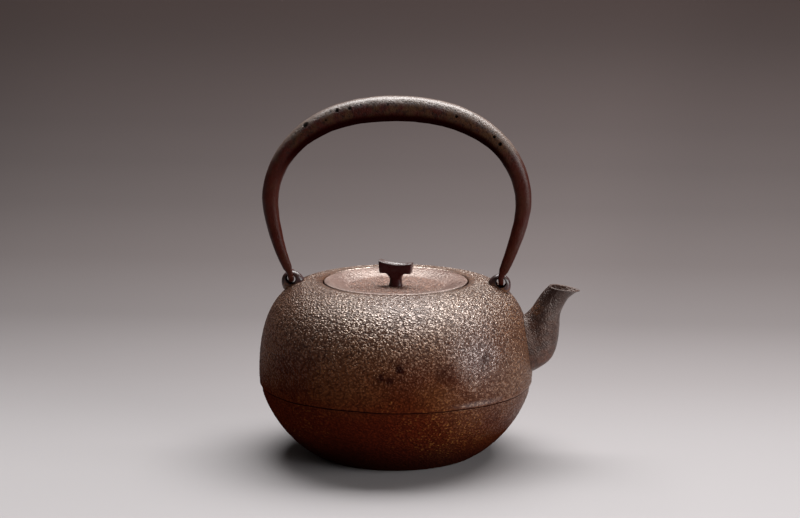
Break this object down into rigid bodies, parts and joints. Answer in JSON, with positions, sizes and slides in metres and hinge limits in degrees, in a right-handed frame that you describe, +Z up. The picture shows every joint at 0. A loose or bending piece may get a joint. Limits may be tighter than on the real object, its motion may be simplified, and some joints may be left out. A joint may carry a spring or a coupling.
{
  "type": "tetsubin kettle",
  "caption": "Cast-iron kettle with a rounded body, curved spout, lift-off lid with a riveted T knob, and a hollow forged handle that tilts on hooks through two lugs.",
  "frame": {"origin": "centre of the flat base, on the surface that the kettle stands on", "axes": "+Z up; +X towards the spout; the handle's plane is the XZ plane, and the handle tilts about X"},
  "size_m": [0.207, 0.1774, 0.232],
  "materials": {
    "vessel_iron": "rough wrinkled casting with a brown iron patina and rust specks",
    "smooth_iron": "smoother casting, dark grey-brown, rubbed on the edges",
    "lid_iron": "fine casting, red-brown, pitted in the middle",
    "forged_iron": "forged sheet with a satin dark red-brown patina and pinholes",
    "knob_iron": "dark satin with a rubbed top"
  },
  "bodies": {
    "vessel": {"vessel_base": "vessel_iron", "vessel_upper": "vessel_iron", "spout": "smooth_iron", "lug_left": "smooth_iron", "lug_right": "smooth_iron"},
    "handle": {"handle_tube": "forged_iron", "handle_hook_left": "forged_iron", "handle_hook_right": "forged_iron"},
    "lid": {"lid": "lid_iron", "knob_washer": "knob_iron"},
    "knob": {"lid_knob": "knob_iron"}
  },
  "joints": [
    {"name": "handle_tilt", "type": "hinge", "parent": "vessel", "child": "handle", "pos_m": [0, 0, 0.11661], "axis": [1, 0, 0], "range_deg": [-80, 55]},
    {"name": "lid_lift", "type": "slide", "parent": "vessel", "child": "lid", "axis": [0, 0, 1], "range_m": [0, 0.06]},
    {"name": "knob_turn", "type": "hinge", "parent": "lid", "child": "knob", "pos_m": [0, 0, 0.111], "axis": [0, 0, 1], "continuous": true}
  ]
}
